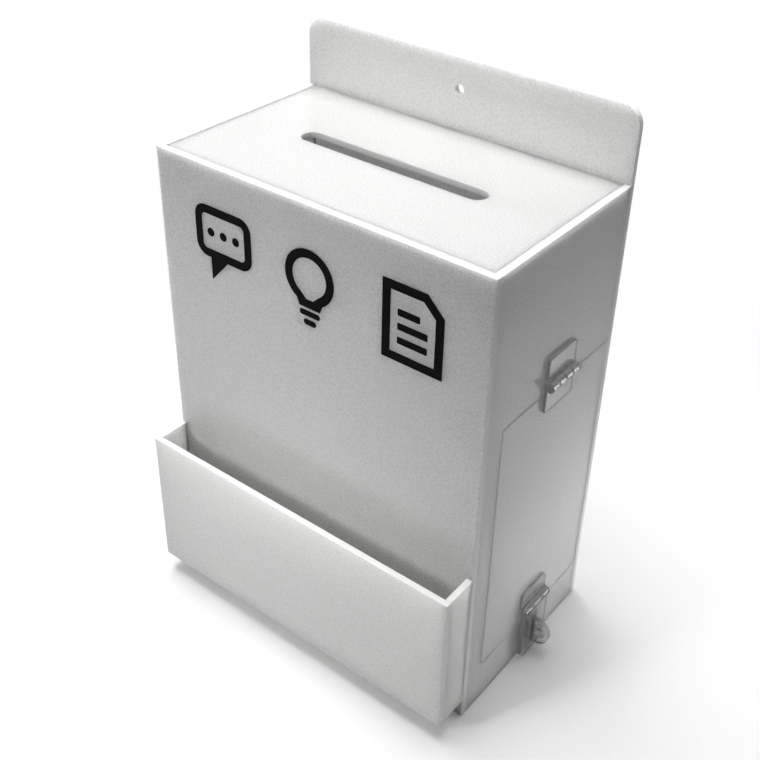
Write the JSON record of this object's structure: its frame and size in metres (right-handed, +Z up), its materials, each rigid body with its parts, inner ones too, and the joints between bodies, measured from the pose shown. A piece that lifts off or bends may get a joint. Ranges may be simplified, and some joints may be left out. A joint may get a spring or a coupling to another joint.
{
  "type": "acrylic suggestion box",
  "caption": "White acrylic suggestion box with a slot in its top, a leaflet pocket on its front, a back panel with a hanging hole, and a side door with a clear hinge and a hasp for a padlock.",
  "frame": {"origin": "centre of the chamber's footprint, back and front panels included, on the surface that the box stands on", "axes": "+Z up, +X to the right as seen from the front, where the side door is, +Y to the back, towards the wall that the box hangs on; the pocket faces -Y"},
  "size_m": [0.3212, 0.2065, 0.458],
  "materials": {
    "white_acrylic": "opaque white cast sheet, polished faces and scraped edges",
    "clear_acrylic": "clear moulded acrylic, polished, with a faint grey in its thickness"
  },
  "bodies": {
    "box": {"back_panel": "white_acrylic", "front_panel": "white_acrylic", "left_side_panel": "white_acrylic", "right_side_panel": "white_acrylic", "top_panel": "white_acrylic", "bottom_panel": "white_acrylic", "pocket_front_panel": "white_acrylic", "pocket_left_cheek": "white_acrylic", "pocket_right_cheek": "white_acrylic", "pocket_floor": "white_acrylic", "door_stop_front": "white_acrylic", "door_stop_rear": "white_acrylic", "hinge_upper_leaf": "clear_acrylic", "hinge_pin": "clear_acrylic", "padlock_eye": "clear_acrylic"},
    "door": {"side_door": "white_acrylic", "hinge_lower_leaf": "clear_acrylic", "hasp_leaf": "clear_acrylic", "hasp_pin": "clear_acrylic"},
    "flap": {"hasp_flap": "clear_acrylic"}
  },
  "joints": [
    {"name": "door_swing", "type": "hinge", "parent": "box", "child": "door", "pos_m": [0.1544, 0.0061, 0.2794], "axis": [0, -1, 0], "range_deg": [0, 180]},
    {"name": "flap_swing", "type": "hinge", "parent": "door", "child": "flap", "pos_m": [0.1544, 0.0061, 0.0543], "axis": [0, -1, 0], "range_deg": [0, 170]}
  ]
}
